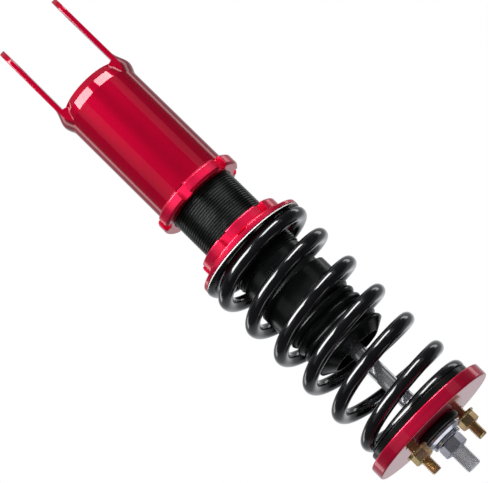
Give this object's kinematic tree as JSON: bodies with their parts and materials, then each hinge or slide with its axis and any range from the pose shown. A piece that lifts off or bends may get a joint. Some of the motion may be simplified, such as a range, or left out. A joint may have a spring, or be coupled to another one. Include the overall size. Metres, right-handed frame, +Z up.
{
  "type": "fork-bottom coilover",
  "caption": "Height-adjustable coilover: fork bracket, threaded damper, castellated lock rings, spring perch, coil spring, dust boot and round studded top mount.",
  "frame": {"origin": "on the damper's axis, at the height of the fork's prong tips", "axes": "+Z up the damper's axis to the top mount's studs, X along the fork bolt"},
  "size_m": [0.103, 0.103, 0.4583],
  "materials": {
    "candy_red": "gloss candy red over metal",
    "red_anodised": "bright red anodised aluminium",
    "black_thread": "satin black threaded steel",
    "black_coat": "gloss black powder coat on spring steel",
    "black_rubber": "moulded black rubber",
    "chrome": "hard chrome, ground and polished",
    "bright_zinc": "clear blue zinc plate",
    "yellow_zinc": "yellow zinc plate",
    "bare_steel": "oiled bare steel",
    "bare_aluminium": "machined aluminium",
    "white_nylon": "smooth white nylon",
    "urethane": "foamed yellow urethane"
  },
  "bodies": {
    "top_mount": {"top_plate": "red_anodised", "stud_1": "yellow_zinc", "stud_2": "yellow_zinc", "stud_nut_1": "yellow_zinc", "stud_nut_2": "yellow_zinc", "lower_bush": "black_rubber", "upper_bush": "black_rubber", "bush_sleeve": "bare_steel", "lower_washer": "bright_zinc", "rod_circlip": "bare_steel", "cup_washer": "bright_zinc", "flat_washer": "bright_zinc", "rod_nut": "bright_zinc", "upper_isolator": "black_rubber", "coil_spring": "black_coat", "piston_rod": "chrome", "piston": "bare_aluminium", "piston_band": "white_nylon", "compression_shims": "bare_steel", "rebound_shims": "bare_steel", "piston_nut": "bare_steel"},
    "spring_seat": {"spring_seat_washer": "white_nylon"},
    "perch": {"spring_perch": "red_anodised"},
    "perch_lock": {"perch_lock_ring": "red_anodised"},
    "damper_tube": {"threaded_tube": "black_thread", "gland_nut": "bare_aluminium", "rod_guide": "bare_aluminium", "rod_seal": "black_rubber", "dust_boot": "black_rubber", "bump_stop": "urethane"},
    "gas_piston": {"floating_piston": "bare_aluminium", "floating_piston_o_ring": "black_rubber"},
    "bracket": {"lower_bracket": "candy_red"},
    "bracket_lock": {"bracket_lock_ring": "red_anodised"}
  },
  "joints": [
    {"name": "suspension_stroke", "type": "slide", "parent": "top_mount", "child": "spring_seat", "axis": [0, 0, 1], "range_m": [0, 0.046], "stiffness_N_per_m": 59000, "springref_m": -0.005, "deforming": ["coil_spring"]},
    {"name": "perch_turn", "type": "hinge", "parent": "spring_seat", "child": "perch", "pos_m": [0, 0, 0.235], "axis": [0, 0, 1], "range_deg": [-1440, 1440]},
    {"name": "perch_lock_turn", "type": "hinge", "parent": "spring_seat", "child": "perch_lock", "pos_m": [0, 0, 0.2274], "axis": [0, 0, 1], "range_deg": [-1440, 1440]},
    {"name": "perch_height", "type": "slide", "parent": "spring_seat", "child": "damper_tube", "axis": [0, 0, 1], "range_m": [-0.0081, 0.0081]},
    {"name": "gas_piston_float", "type": "slide", "parent": "damper_tube", "child": "gas_piston", "axis": [0, 0, 1], "range_m": [-0.0033, 0.0005]},
    {"name": "bracket_height", "type": "slide", "parent": "damper_tube", "child": "bracket", "axis": [0, 0, 1], "range_m": [-0.0121, 0.0121]},
    {"name": "bracket_lock_turn", "type": "hinge", "parent": "bracket", "child": "bracket_lock", "pos_m": [0, 0, 0.18155], "axis": [0, 0, 1], "range_deg": [-2160, 2160]}
  ],
  "couplings": [
    {"joint": "perch_lock_turn", "follows": "perch_turn", "ratio": 1},
    {"joint": "perch_height", "follows": "perch_turn", "m_per_rad": -0.00031831},
    {"joint": "bracket_height", "follows": "bracket_lock_turn", "m_per_rad": 0.00031831},
    {"joint": "gas_piston_float", "follows": "suspension_stroke", "ratio": -0.0696}
  ]
}
